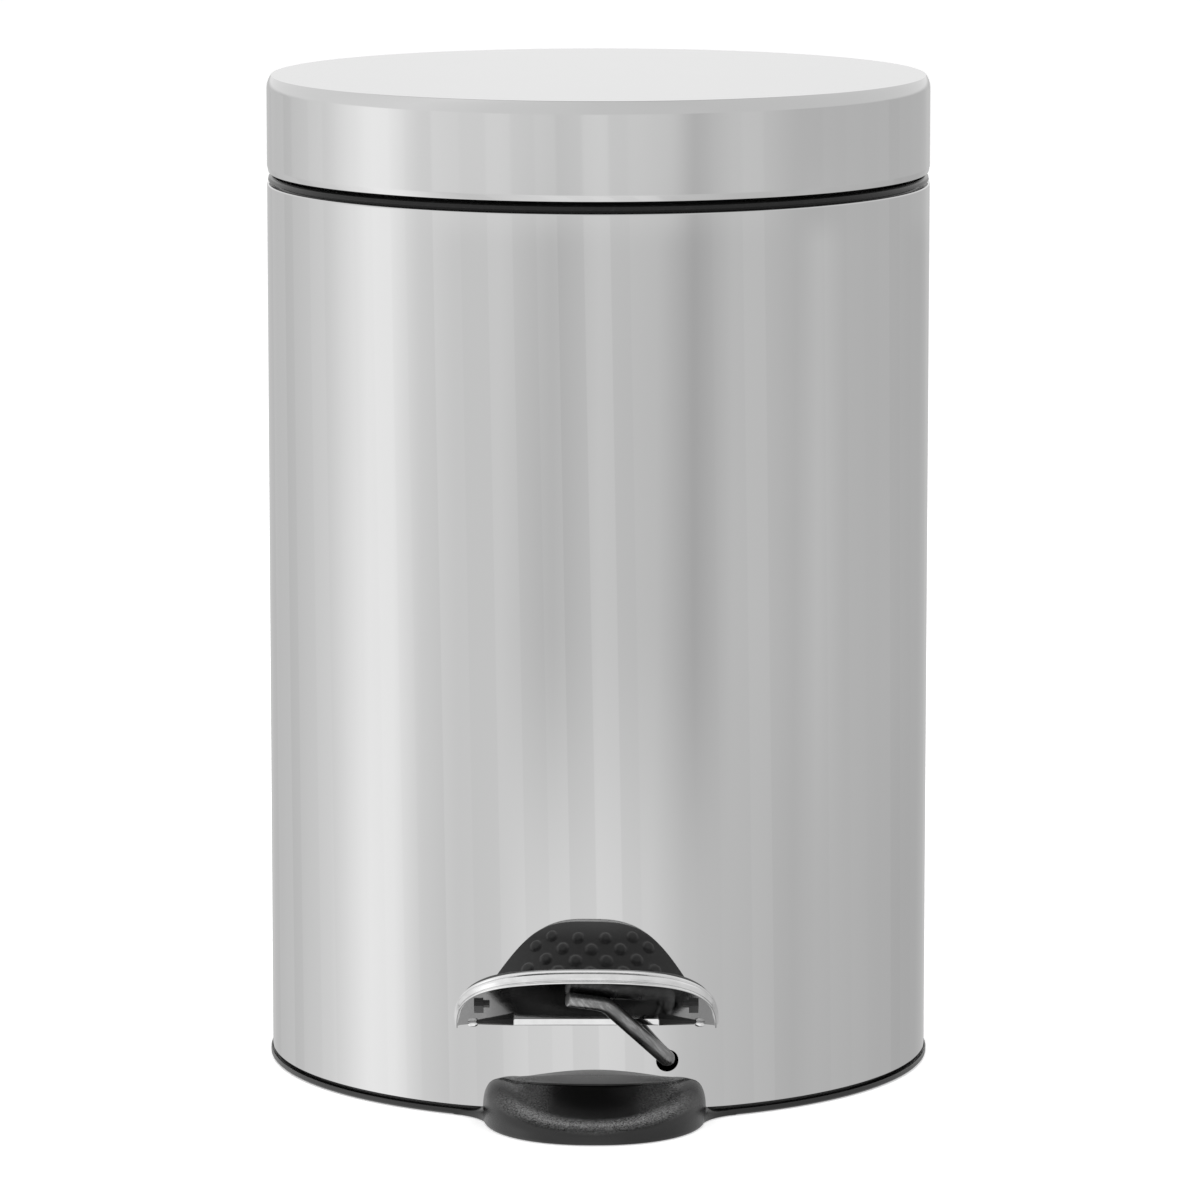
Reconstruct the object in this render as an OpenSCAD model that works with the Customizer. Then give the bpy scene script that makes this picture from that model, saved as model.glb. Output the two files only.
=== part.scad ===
/* [Body] */
// Outer radius of the round steel body and of the lid
body_r = 85; // [84:0.5:86]
// Total height with the lid closed
total_h = 255; // [250:1:260]
// Height of the lid's side wall
lid_h = 24.7; // [24:0.1:26]
// Thickness of the sheet steel
steel_t = 0.6; // [0.5:0.1:0.8]
// Radius of the rounded edge round the lid's top
lid_edge_r = 3.2; // [2.5:0.1:4]

/* [Base and foot] */
// Height of the black ring that shows below the steel body
base_ring_h = 2.8; // [2.4:0.1:3.2]
// Radius of the black ring where it meets the floor
base_r = 85.5; // [85.2:0.1:86]
// Thickness of the base's floor
base_floor_t = 2.5; // [2:0.1:3]
// Half of the foot's width
foot_half_w = 28.5; // [26:0.5:31]
// How far the foot's front edge lies from the body's axis
foot_reach = 111.8; // [108:0.1:114]
// Sideways place of the foot's centreline
foot_x = -1; // [-2:0.1:1]
// Height of the foot's top where it meets the body
foot_h = 11.2; // [10:0.1:11.4]

/* [Pedal] */
// Half of the pedal plate's width
pedal_half_w = 33; // [30:0.5:35]
// Length of the pedal plate along its slope, from the straight rear edge
pedal_len = 34.8; // [32:0.2:36]
// Slope of the pedal plate at rest, front edge up
pedal_tilt = 30; // [28:0.1:31]
// Sideways place of the pedal's centreline
pedal_x = -3; // [-4:0.1:0]
// Radius of the bent wire lever
wire_r = 1.95; // [1.8:0.01:1.95]
// Sideways place of the lever's hole in the body
lever_hole_x = 17.2; // [17:0.1:18]
// Radius of the lever's hole in the body
lever_hole_r = 2.8; // [2.8:0.05:3]

/* [Hinge and lift] */
// Distance from the body's axis to the lid's hinge pin
hinge_y = 94.25; // [94:0.05:94.5]
// Height of the lid's hinge pin
hinge_z = 232; // [231.8:0.1:232.2]
// Radius of the lid's hinge pin
hinge_pin_r = 2; // [1.8:0.05:2.2]
// Distance from the body's axis to the lift rod's pin
lift_y = 74; // [73.9:0.05:74.1]

/* [Bucket] */
// Outer radius of the inner bucket just below its rim
bucket_top_r = 73.5; // [72.5:0.1:74]
// Outer radius of the inner bucket at its bottom
bucket_bottom_r = 66; // [64:0.5:68]
// Height of the inner bucket's underside
bucket_z = 44; // [43.5:0.5:50]
// Thickness of the bucket's wall
bucket_t = 1.5; // [1.2:0.1:2]

/* [Hidden] */
$fn = 96;

// Colours
steel = [0.80, 0.80, 0.80];
worn_steel = [0.42, 0.42, 0.43];
black = [0.10, 0.10, 0.10];
dark = [0.16, 0.16, 0.17];

// Heights of the rim
lid_bottom = total_h - lid_h;
collar_top = lid_bottom - 0.7;
shell_top = collar_top - 2.4;
shell_in_r = body_r - steel_t;

// Running fits
fit = 0.05;

// The foot's edge is chamfered twice, a round scoop lies in its top, and fillets lead to the ring
foot_back = -82;
foot_low = 4;
foot_scoop_r = 24;
foot_scoop_y = -108;
foot_scoop_z = 4.6;
flare_half = 40;
foot_flare_y = -88.5;

// The lever's pivot, parallel to X
pivot = [0, -77.5, 15];
pivot_half = lever_hole_x;
saddle_x = 11;
saddle_w = 6;
saddle_front = -80.8;
saddle_rear = -67;
cap_t = 3.6;
cap_screw_y = -71;
cap_screw_r = 1.25;
lever_hole_z = 15.1;

// How much a bend in the lever is thicker than the wire
bend_swell = 0.04;

// The lever's hooked rear end, which lifts the rod
hook_z = 8;
hook_x = -6;
hook_end_x = 5.2;

// The pedal's own frame: the middle of the rear edge of its top face
pedal_y = -86.5;
pedal_z = 27.8;
pedal_round = 2.7;
plate_t = 1.2;
rim_t = 1;
rim_h = 3.4;
rear_edge_half = 18;
wing_back = 4;
tab_x = 26.6;
tab_s = 10.8;
pad_inset = 1.5;
pad_t = 1.4;
dot_r = 2.1;
dot_h = 0.7;
dot_pitch = 10.65;
dot_row = 4.35;
dot_front = 25.7;

// The lift rod, a flat strip that slides up and down
rod_t = 1.6;
rod_front = 68.2;
rod_back = 79;
rod_bottom = 3.6;
lift_drop = 15.83;
lift_pin_z = hinge_z - lift_drop;
lift_pin_r = 1.75;
rod_top = lift_pin_z + 5;

// The hinge
knuckle_r = 4.5;
knuckle_half = 10;
ear_w = 5.5;
ear_gap = 0.4;
ear_r = 5.6;
bracket_half = 20;
bracket_bottom = 200;
bracket_top = lid_bottom - 2.3;
bracket_t = 3.4;
bracket_screw_x = 13;
bracket_screw_z = 208;
bracket_screw_r = 1.5;

// The lid's arm
arm_half = 8;
arm_t = 2.5;
arm_low_z = hinge_z + knuckle_r - arm_t;
arm_riser_y = 76;
arm_top_z = total_h - 6.5;
arm_front_y = 44;
lug_x = 1.6;
lug_t = 2;
lug_angle = 38;
slot_r = 2.9;
slot_near = 21.2;
slot_far = 24.8;
lug_edge = 2.3;
arm_screw_x = 4.5;
arm_screw_ys = [50, 64];

// The liner inside the lid
liner_r = shell_in_r - 0.2;
liner_t = 2;
liner_bottom = lid_bottom + 16;
liner_top = total_h - steel_t - 0.1;
arm_notch_half = arm_half + 1.5;

// The bucket's rim, its rear groove and its bail
rim_r = 78;
rim_z = collar_top + 0.1;
rim_top = rim_z + 2;
groove_half = 10;
groove_y = 62.5;
bail_r = 73;
bail_wire_r = 1.4;
bail_z = rim_top + 3.4;
ear_in_x = 75;
ear_out_x = 77.5;
bail_end_x = 79.4;
grip_r = 3.2;
grip_angle = 46;

// The guide on the rear wall
guide_z = 105;
guide_h = 10;
guide_half = 7;
guide_front = 66;
rivet_z = guide_z + guide_h / 2;
rivet_r = 1.5;

// Points of a half oval of half-width a and depth b, rounder than an ellipse when n is over 2
function half_oval(a, b, n) = [
    for (t = [0:5:180])
        [a * sign(cos(t)) * pow(abs(cos(t)), 2 / n), -b * pow(abs(sin(t)), 2 / n)]
];

// The same half oval, moved back by the wings and closed along the pedal's rear edge
function pedal_outline(inset) = concat(
    [
        for (p = half_oval(pedal_half_w - inset, pedal_len + wing_back - 2 * inset, pedal_round))
            [p[0], p[1] + wing_back - inset]
    ],
    [[-rear_edge_half, -inset], [rear_edge_half, -inset]]
);

// A point of the pedal's frame, in the part's frame
function pedal_point(p) = [
    pedal_x + p[0],
    pedal_y + p[1] * cos(pedal_tilt) + p[2] * sin(pedal_tilt),
    pedal_z - p[1] * sin(pedal_tilt) + p[2] * cos(pedal_tilt)
];

// The bent wire lever, from its welded end under the plate to its hooked end
lever_points = [
    pedal_point([-4.6, -21.9, -plate_t - wire_r]),
    pedal_point([4.6, -18.4, -plate_t - wire_r - 0.2]),
    [lever_hole_x - 0.1, -87.6, 16.6],
    [lever_hole_x, pivot[1], pivot[2]],
    [-pivot_half, pivot[1], pivot[2]],
    [hook_x, lift_y, hook_z],
    [hook_end_x, lift_y, hook_z]
];

module in_pedal_frame() {
    translate([pedal_x, pedal_y, pedal_z])
        rotate([-pedal_tilt, 0, 0])
            children();
}

module rod(p, q, r) {
    d = q - p;
    translate(p)
        rotate([0, acos(d[2] / norm(d)), atan2(d[1], d[0])])
            cylinder(r = r, h = norm(d));
}

module bent_wire(points, r) {
    for (i = [0:len(points) - 2])
        rod(points[i], points[i + 1], r);
    for (i = [1:len(points) - 2])
        translate(points[i])
            sphere(r = r + bend_swell);
}

// A cylinder along +X from x = a to x = b, at height z and depth y
module cross_rod(a, b, y, z, r) {
    translate([a, y, z])
        rotate([0, 90, 0])
            cylinder(r = r, h = b - a);
}

// A cylinder along +Y from y = a to y = b
module depth_rod(a, b, x, z, r) {
    translate([x, a, z])
        rotate([-90, 0, 0])
            cylinder(r = r, h = b - a);
}

// A box given by its lowest and highest corners
module block(low, high) {
    translate(low)
        cube(high - low);
}

// A flat shape drawn in Y and Z, made t thick from x = a
module side_plate(a, t) {
    translate([a, 0, 0])
        rotate([90, 0, 90])
            linear_extrude(t)
                children();
}

module outer_shell() color(steel)
    difference() {
        rotate_extrude() {
            translate([shell_in_r, base_ring_h])
                square([steel_t, shell_top - base_ring_h]);
            translate([shell_in_r - 1.6, shell_top - steel_t])
                square([1.8, steel_t]);
        }
        depth_rod(-body_r - 5, -body_r + 10, lever_hole_x, lever_hole_z, lever_hole_r);
        for (side = [-1, 1])
            depth_rod(body_r - 10, body_r + 5, side * bracket_screw_x, bracket_screw_z, bracket_screw_r);
        depth_rod(body_r - 10, body_r + 5, 0, rivet_z, rivet_r);
    }

// A flat slab with the foot's oval front, whose straight back lies inside the body
module foot_slab(a, b, z, h) {
    translate([foot_x, foot_back, z])
        linear_extrude(h)
            polygon(half_oval(a, b, 2.1));
}

module foot() {
    reach = foot_reach + foot_back;
    difference() {
        union() {
            hull() {
                foot_slab(foot_half_w, reach, 0, foot_low);
                foot_slab(foot_half_w - 0.8, reach - 1, foot_low + 3, 0.4);
                foot_slab(foot_half_w - 4.4, reach - 5.4, foot_h - 0.2, 0.2);
            }
            linear_extrude(2)
                difference() {
                    translate([foot_x, foot_back])
                        square([2 * flare_half, 2 * (foot_flare_y - foot_back)], center = true);
                    for (side = [-1, 1])
                        translate([foot_x + side * flare_half, foot_flare_y])
                            circle(r = flare_half - foot_half_w + 0.4);
                }
        }
        translate([foot_x, foot_scoop_y, foot_scoop_z + foot_scoop_r])
            sphere(r = foot_scoop_r);
        translate([0, 0, base_ring_h - 0.8])
            cylinder(r = body_r + 0.05, h = 30);
    }
}

module saddle(x) {
    difference() {
        block([x - saddle_w / 2, saddle_front, 1], [x + saddle_w / 2, saddle_rear, pivot[2]]);
        cross_rod(x - saddle_w, x + saddle_w, pivot[1], pivot[2], wire_r + fit);
        translate([x, cap_screw_y, pivot[2] - 8])
            cylinder(r = cap_screw_r, h = 10);
    }
}

module base() color(black) {
    difference() {
        rotate_extrude()
            polygon([
                [0, 0], [base_r - 0.5, 0], [base_r, 0.5], [base_r, 1.7], [84, 2.1],
                [84, base_ring_h], [shell_in_r - 0.1, base_ring_h], [shell_in_r - 0.1, 13.5],
                [82.6, 14], [82.2, 14], [82.2, base_floor_t], [0, base_floor_t]
            ]);
        block([lever_hole_x - 4.5, -body_r, 10], [lever_hole_x + 4.5, -70, 20]);
    }
    foot();
    saddle(-saddle_x);
    saddle(saddle_x);
}

module bearing_cap(x) {
    difference() {
        block(
            [x - saddle_w / 2, saddle_front, pivot[2]],
            [x + saddle_w / 2, saddle_rear, pivot[2] + cap_t]
        );
        cross_rod(x - saddle_w, x + saddle_w, pivot[1], pivot[2], wire_r + fit);
        translate([x, cap_screw_y, pivot[2] - 1])
            cylinder(r = cap_screw_r, h = 10);
    }
}

module lever_bearing_caps() color(dark)
    for (side = [-1, 1])
        bearing_cap(side * saddle_x);

module bearing_screws() color(steel)
    for (side = [-1, 1])
        translate([side * saddle_x, cap_screw_y, pivot[2] - 7.5])
            difference() {
                union() {
                    cylinder(r = cap_screw_r, h = 7.5 + cap_t);
                    translate([0, 0, 7.5 + cap_t])
                        cylinder(r = 2.4, h = 1.6);
                }
                translate([-0.3, -3, 8.4 + cap_t])
                    cube([0.6, 6, 1]);
            }

module collar() color(black)
    difference() {
        rotate_extrude()
            polygon([
                [75, shell_top], [82, shell_top], [82, 216], [shell_in_r - 1.8, 216],
                [shell_in_r - 1.8, shell_top], [body_r - 0.1, shell_top],
                [body_r - 0.1, shell_top + 0.3], [body_r - 0.9, collar_top - 0.2],
                [body_r - 1.3, collar_top], [75, collar_top]
            ]);
        block([-9, 50, 210], [9, 83.4, 235]);
    }

module hinge_bracket() color(black)
    difference() {
        union() {
            intersection() {
                difference() {
                    cylinder(r = body_r + bracket_t, h = bracket_top);
                    translate([0, 0, -1])
                        cylinder(r = body_r + 0.05, h = bracket_top + 2);
                }
                block([-bracket_half, 70, bracket_bottom], [bracket_half, 100, bracket_top]);
            }
            for (x = [-knuckle_half - ear_gap - ear_w, knuckle_half + ear_gap])
                side_plate(x, ear_w) {
                    translate([hinge_y, hinge_z])
                        circle(r = ear_r);
                    polygon([
                        [body_r + 0.6, bracket_bottom + 14], [body_r + 0.6, bracket_top],
                        [hinge_y, bracket_top + 1], [hinge_y + ear_r - 0.5, hinge_z - 2],
                        [body_r + 4.5, bracket_bottom + 14]
                    ]);
                }
        }
        cross_rod(-bracket_half, bracket_half, hinge_y, hinge_z, hinge_pin_r + 0.02);
        for (side = [-1, 1])
            depth_rod(body_r - 10, body_r + 10, side * bracket_screw_x, bracket_screw_z, bracket_screw_r);
        for (side = [-1, 1])
            depth_rod(body_r + 2, body_r + 10, side * bracket_screw_x, bracket_screw_z, 3.1);
    }

module hinge_backing_plate() color(steel)
    difference() {
        intersection() {
            difference() {
                cylinder(r = shell_in_r - 0.1, h = 300);
                translate([0, 0, -1])
                    cylinder(r = shell_in_r - 1.7, h = 302);
            }
            block([-18, 70, 202], [18, 90, 214]);
        }
        for (side = [-1, 1])
            depth_rod(body_r - 10, body_r + 5, side * bracket_screw_x, bracket_screw_z, bracket_screw_r);
    }

module bracket_screws() color(steel)
    for (side = [-1, 1])
        difference() {
            union() {
                depth_rod(body_r - 6, body_r + 2.2, side * bracket_screw_x, bracket_screw_z, bracket_screw_r);
                depth_rod(body_r + 2, body_r + 3.6, side * bracket_screw_x, bracket_screw_z, 2.8);
            }
            block(
                [side * bracket_screw_x - 0.35, body_r + 2.9, bracket_screw_z - 4],
                [side * bracket_screw_x + 0.35, body_r + 6, bracket_screw_z + 4]
            );
        }

module hinge_pin() color(steel) {
    reach = knuckle_half + ear_gap + ear_w;
    cross_rod(-reach - 0.6, reach + 0.6, hinge_y, hinge_z, hinge_pin_r);
    cross_rod(-reach - 1.6, -reach, hinge_y, hinge_z, hinge_pin_r + 1);
    cross_rod(reach, reach + 1.2, hinge_y, hinge_z, hinge_pin_r + 0.8);
}

module rod_guide() color(black)
    difference() {
        intersection() {
            block([-guide_half, guide_front, guide_z], [guide_half, 90, guide_z + guide_h]);
            cylinder(r = shell_in_r - 0.1, h = 200);
        }
        block(
            [-rod_t / 2 - 0.25, rod_front - 0.3, guide_z - 1],
            [rod_t / 2 + 0.25, rod_back + 0.3, guide_z + guide_h + 1]
        );
        depth_rod(rod_back + 1, body_r + 2, 0, rivet_z, rivet_r);
    }

module guide_rivet() color(steel) {
    depth_rod(rod_back + 1.2, body_r + 0.1, 0, rivet_z, rivet_r);
    intersection() {
        translate([0, body_r - 3.2, rivet_z])
            sphere(r = 4.6);
        depth_rod(body_r + 0.05, body_r + 4, 0, rivet_z, 3.2);
    }
}

module lid_section(r, top, bottom, edge) {
    translate([0, bottom])
        square([r, top - bottom - edge]);
    translate([0, bottom])
        square([r - edge, top - bottom]);
    translate([r - edge, top - edge])
        circle(r = edge);
}

module lid_shell() color(steel)
    difference() {
        rotate_extrude() {
            difference() {
                lid_section(body_r, total_h, lid_bottom, lid_edge_r);
                lid_section(shell_in_r, total_h - steel_t, lid_bottom - 1, lid_edge_r - steel_t);
            }
            translate([shell_in_r - 0.8, lid_bottom])
                square([1, steel_t]);
        }
        block([-arm_notch_half, 70, lid_bottom - 1], [arm_notch_half, 95, arm_low_z + arm_t + 1]);
    }

module lid_liner() color(black)
    difference() {
        union() {
            rotate_extrude()
                difference() {
                    lid_section(liner_r, liner_top, liner_bottom, lid_edge_r);
                    lid_section(liner_r - liner_t, liner_top - liner_t, liner_bottom - 1, lid_edge_r - 1);
                }
            block([-11, arm_front_y - 3, arm_top_z + arm_t], [11, 78, liner_top - 1]);
        }
        for (side = [-1, 1], y = arm_screw_ys)
            translate([side * arm_screw_x, y, arm_top_z - 1])
                cylinder(r = 1.2, h = 5.5);
    }

// A slot shape, rounded at both ends, that lies along the lug's direction
module lug_slot(r) {
    for (d = [slot_near, slot_far])
        translate([-d, 0])
            circle(r = r);
    translate([-slot_far, -r])
        square([slot_far - slot_near, 2 * r]);
}

module lid_hinge_arm() color(worn_steel)
    difference() {
        union() {
            cross_rod(-knuckle_half, knuckle_half, hinge_y, hinge_z, knuckle_r);
            block([-arm_half, arm_riser_y, arm_low_z], [arm_half, hinge_y, arm_low_z + arm_t]);
            block([-arm_half, arm_riser_y, arm_low_z], [arm_half, arm_riser_y + arm_t, arm_top_z + arm_t]);
            block([-arm_half, arm_front_y, arm_top_z], [arm_half, arm_riser_y + 1, arm_top_z + arm_t]);
            difference() {
                side_plate(lug_x, lug_t)
                    union() {
                        translate([hinge_y, hinge_z])
                            rotate([0, 0, lug_angle])
                                lug_slot(slot_r + lug_edge);
                        polygon([
                            [arm_riser_y + 1, arm_low_z + 1], [arm_riser_y + 1, arm_top_z - 9],
                            [arm_riser_y - 5, arm_low_z], [arm_riser_y - 6.5, hinge_z - 16],
                            [arm_riser_y + 2, hinge_z - 16], [arm_riser_y + 5.4, hinge_z - 9],
                            [arm_riser_y + 5.4, arm_low_z + 1]
                        ]);
                    }
                side_plate(lug_x - 1, lug_t + 2)
                    translate([hinge_y, hinge_z])
                        rotate([0, 0, lug_angle])
                            lug_slot(slot_r);
            }
        }
        cross_rod(-knuckle_half - 1, knuckle_half + 1, hinge_y, hinge_z, hinge_pin_r + fit);
        for (side = [-1, 1], y = arm_screw_ys)
            translate([side * arm_screw_x, y, arm_top_z - 1])
                cylinder(r = 1.4, h = 6);
    }

module lid_screws() color(steel)
    for (side = [-1, 1], y = arm_screw_ys)
        translate([side * arm_screw_x, y, arm_top_z])
            difference() {
                union() {
                    cylinder(r = 1.2, h = 4);
                    translate([0, 0, -1.4])
                        cylinder(r = 2.4, h = 1.4);
                }
                translate([-3, -0.3, -2])
                    cube([6, 0.6, 1.2]);
            }

module pedal_lever() color(worn_steel)
    bent_wire(lever_points, wire_r);

module pedal_plate() color(steel)
    in_pedal_frame()
        difference() {
            union() {
                translate([0, 0, -plate_t])
                    linear_extrude(plate_t)
                        polygon(pedal_outline(0));
                difference() {
                    translate([0, 0, -rim_h])
                        linear_extrude(rim_h + 0.6)
                            polygon(pedal_outline(0));
                    translate([0, 0, -rim_h - 1])
                        linear_extrude(rim_h + 3)
                            polygon(pedal_outline(rim_t));
                    block([-rear_edge_half - 2, -3, -rim_h - 1], [rear_edge_half + 2, 6, 2]);
                }
                block([-rear_edge_half, -1, -rim_h], [rear_edge_half, 0, 0]);
            }
            for (side = [-1, 1])
                block(
                    [side * tab_x - 1.3, -tab_s - 1.8, -plate_t - 1],
                    [side * tab_x + 1.3, -tab_s + 1.8, 1]
                );
        }

module pad_dots() {
    for (row = [0:5])
        for (i = [-3:3])
            let (x = (i + ((row + 1) % 2) / 2) * dot_pitch + 0.4, s = dot_front - row * dot_row)
                if (s > 3 && pow(abs(x) / 28.5, pedal_round) + pow((s + wing_back) / 35, pedal_round) < 1)
                    translate([x, -s, pad_t - 0.1])
                        cylinder(r = dot_r, h = dot_h + 0.1);
}

module pedal_pad() color(black)
    in_pedal_frame() {
        linear_extrude(pad_t)
            polygon(pedal_outline(pad_inset));
        pad_dots();
        for (side = [-1, 1]) {
            block(
                [side * tab_x - 1.2, -tab_s - 1.7, -plate_t - 0.8],
                [side * tab_x + 1.2, -tab_s + 1.7, 0.1]
            );
            block(
                [side * tab_x - 1.9, -tab_s - 1, -plate_t - 1.5],
                [side * tab_x + 1.9, -tab_s + 1, -plate_t - 0.1]
            );
        }
    }

module lever_clip() color(black)
    difference() {
        cross_rod(hook_end_x - 3.4, hook_end_x + 0.8, lift_y, hook_z, wire_r + 1.4);
        cross_rod(hook_end_x - 4, hook_end_x, lift_y, hook_z, wire_r);
    }

module lift_rod() color(steel)
    difference() {
        block([-rod_t / 2, rod_front, rod_bottom], [rod_t / 2, rod_back, rod_top]);
        for (y = [lift_y - 1.95, lift_y + 0.25])
            cross_rod(-2, 2, y, hook_z, wire_r + 0.12);
        block(
            [-2, lift_y - 1.95, hook_z - wire_r - 0.12],
            [2, lift_y + 0.25, hook_z + wire_r + 0.12]
        );
        cross_rod(-2, 2, lift_y, lift_pin_z, lift_pin_r);
    }

module lift_pin() color(steel) {
    cross_rod(-rod_t / 2 - 0.4, 5, lift_y, lift_pin_z, lift_pin_r);
    cross_rod(-rod_t / 2 - 1.4, -rod_t / 2, lift_y, lift_pin_z, lift_pin_r + 1.2);
    cross_rod(4.1, 5.3, lift_y, lift_pin_z, slot_r + 0.7);
}

module bucket_section(inset, low) {
    polygon([
        [0, bucket_z + low], [bucket_bottom_r - 4 - inset, bucket_z + low],
        [bucket_bottom_r - inset, bucket_z + 4 + low * 0.4], [bucket_top_r - inset, rim_z + 0.1],
        [bucket_top_r - inset, rim_top + 1], [0, rim_top + 1]
    ]);
}

module bucket_groove(extra) {
    block(
        [-groove_half - extra, groove_y - extra, bucket_z - 5],
        [groove_half + extra, 90, rim_top + 5]
    );
}

module inner_bucket() color(black)
    difference() {
        union() {
            difference() {
                union() {
                    difference() {
                        rotate_extrude()
                            bucket_section(0, 0);
                        translate([0, 0, rim_top])
                            cylinder(r = 90, h = 5);
                    }
                    translate([0, 0, rim_z])
                        cylinder(r = rim_r, h = rim_top - rim_z);
                }
                bucket_groove(0);
            }
            for (side = [-1, 1])
                side_plate(side > 0 ? ear_in_x : -ear_out_x, ear_out_x - ear_in_x) {
                    translate([0, bail_z])
                        circle(r = 3.4);
                    translate([-3.4, rim_top - 1])
                        square([6.8, bail_z - rim_top + 1]);
                }
        }
        difference() {
            rotate_extrude()
                bucket_section(bucket_t, bucket_t);
            bucket_groove(bucket_t);
        }
        cross_rod(-90, 90, 0, bail_z, bail_wire_r + fit);
    }

module bucket_bail() color(steel) {
    translate([0, 0, bail_z])
        rotate([0, 0, 180])
            rotate_extrude(angle = 180)
                translate([bail_r, 0])
                    circle(r = bail_wire_r);
    for (side = [-1, 1])
        cross_rod(
            side > 0 ? bail_r : -bail_end_x, side > 0 ? bail_end_x : -bail_r,
            0, bail_z, bail_wire_r
        );
}

module bail_grip() color(black)
    translate([0, 0, bail_z])
        rotate([0, 0, 270 - grip_angle / 2])
            rotate_extrude(angle = grip_angle)
                translate([bail_r, 0])
                    difference() {
                        circle(r = grip_r);
                        circle(r = bail_wire_r);
                    }

outer_shell();
base();
lever_bearing_caps();
bearing_screws();
collar();
hinge_bracket();
hinge_backing_plate();
bracket_screws();
hinge_pin();
rod_guide();
guide_rivet();
lid_shell();
lid_liner();
lid_hinge_arm();
lid_screws();
pedal_lever();
pedal_plate();
pedal_pad();
lever_clip();
lift_rod();
lift_pin();
inner_bucket();
bucket_bail();
bail_grip();
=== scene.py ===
import math

import bmesh
import bpy
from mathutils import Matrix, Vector


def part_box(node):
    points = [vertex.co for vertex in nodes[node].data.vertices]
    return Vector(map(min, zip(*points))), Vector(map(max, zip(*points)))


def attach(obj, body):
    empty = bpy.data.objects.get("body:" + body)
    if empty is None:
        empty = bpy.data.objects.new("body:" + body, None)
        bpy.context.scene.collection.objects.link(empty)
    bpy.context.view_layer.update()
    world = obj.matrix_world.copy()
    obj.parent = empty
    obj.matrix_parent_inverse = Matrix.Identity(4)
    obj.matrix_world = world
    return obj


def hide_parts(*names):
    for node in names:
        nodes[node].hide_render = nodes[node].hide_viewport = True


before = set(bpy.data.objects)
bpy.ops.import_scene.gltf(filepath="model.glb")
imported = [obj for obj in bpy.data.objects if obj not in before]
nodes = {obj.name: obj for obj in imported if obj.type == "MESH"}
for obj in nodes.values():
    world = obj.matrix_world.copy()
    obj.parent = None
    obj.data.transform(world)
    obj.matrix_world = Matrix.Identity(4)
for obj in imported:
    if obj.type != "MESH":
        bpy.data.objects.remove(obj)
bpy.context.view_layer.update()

MM = 0.001
scene = bpy.context.scene

# ---------------------------------------------------------------- sizes from the frame, in millimetres


def node_box(name):
    """Lowest and highest corner of a CAD node, in millimetres."""
    low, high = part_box(name)
    return [c / MM for c in low], [c / MM for c in high]


SHELL_LOW, SHELL_HIGH = node_box("outer_shell")
LID_LOW, LID_HIGH = node_box("lid_shell")
COLLAR_HIGH = node_box("collar")[1]
BASE_LOW, BASE_HIGH = node_box("base")

BODY_R = SHELL_HIGH[0]
SHELL_BOTTOM, SHELL_TOP = SHELL_LOW[2], SHELL_HIGH[2]
LID_BOTTOM, LID_TOP = LID_LOW[2], LID_HIGH[2]
COLLAR_TOP = COLLAR_HIGH[2]
BODY_TOP, BODY_BOTTOM = SHELL_TOP + 0.25, SHELL_BOTTOM - 0.4
STEEL_T = 0.6
LID_EDGE_IN, LID_EDGE_DOWN = 1.15, 3.5

# The foot and the ring that it grows out of
RING_R = BASE_HIGH[0]
FOOT_X = -1.0
FOOT_HALF_W = 27.9
FOOT_REACH = -BASE_LOW[1] - 0.1
FOOT_BACK = -82.0
FOOT_LEN = FOOT_REACH + FOOT_BACK
FOOT_OVAL = 2.15
FOOT_H = 11.75
FOOT_SAG = 0.4
FOOT_CROWN_D = 8.3
FOOT_CROWN_HALF = 23.3
FOOT_LIP_H = 4.6
FOOT_LOW = 2.0
FLARE_R = 15.0
FLARE_RISE = 1.3
FLARE_INSET = 1.2
FLARE_END = math.radians(168)
FLARE_H = 1.6
NOTCH_HALF_W, NOTCH_Z = 4.5, 10.0

# The pedal's own frame: the middle of the rear edge of its top face
PEDAL = (-3.0, -86.5, 27.8)
PEDAL_TILT = math.radians(30)
PEDAL_HALF_W = 33.0
PEDAL_LEN = 34.8
PEDAL_WING = 4.0
PEDAL_ROUND = 2.7
PLATE_T = 1.2
UNDER = 1.7
REAR_HALF = 18.0
PAD_INSET = 1.5
PAD_T = 1.5
DOT_R = 2.05
DOT_H = 0.35
DOT_PITCH = 10.65
DOT_ROW = 4.35
DOT_FRONT = 25.7
TAB_X, TAB_S = 26.6, 10.8

# The bent wire lever
WIRE_R = 1.95
PIVOT_Y, PIVOT_Z = -77.5, 15.0
HOLE_X, HOLE_Z, HOLE_R = 17.2, 15.1, 2.8
HOOK_X, HOOK_END_X, HOOK_Z = -6.0, 5.2, 8.0
SADDLE_X = 11
LIFT_Y = 74.0


def pedal_point(x, y, z):
    """A point of the pedal's frame, in the row frame."""
    c, s = math.cos(PEDAL_TILT), math.sin(PEDAL_TILT)
    return (PEDAL[0] + x, PEDAL[1] + y * c + z * s, PEDAL[2] - y * s + z * c)


# ---------------------------------------------------------------- materials


def maths(tree, operation, *values):
    """The output of a maths node whose inputs are sockets or numbers."""
    made = tree.nodes.new("ShaderNodeMath")
    made.operation = operation
    for socket, value in zip(made.inputs, values):
        if isinstance(value, (int, float)):
            socket.default_value = value
        else:
            tree.links.new(value, socket)
    return made.outputs[0]


def split_axes(tree, vector):
    """The X, Y and Z of a vector."""
    made = tree.nodes.new("ShaderNodeSeparateXYZ")
    tree.links.new(vector, made.inputs["Vector"])
    return made.outputs["X"], made.outputs["Y"], made.outputs["Z"]


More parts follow.
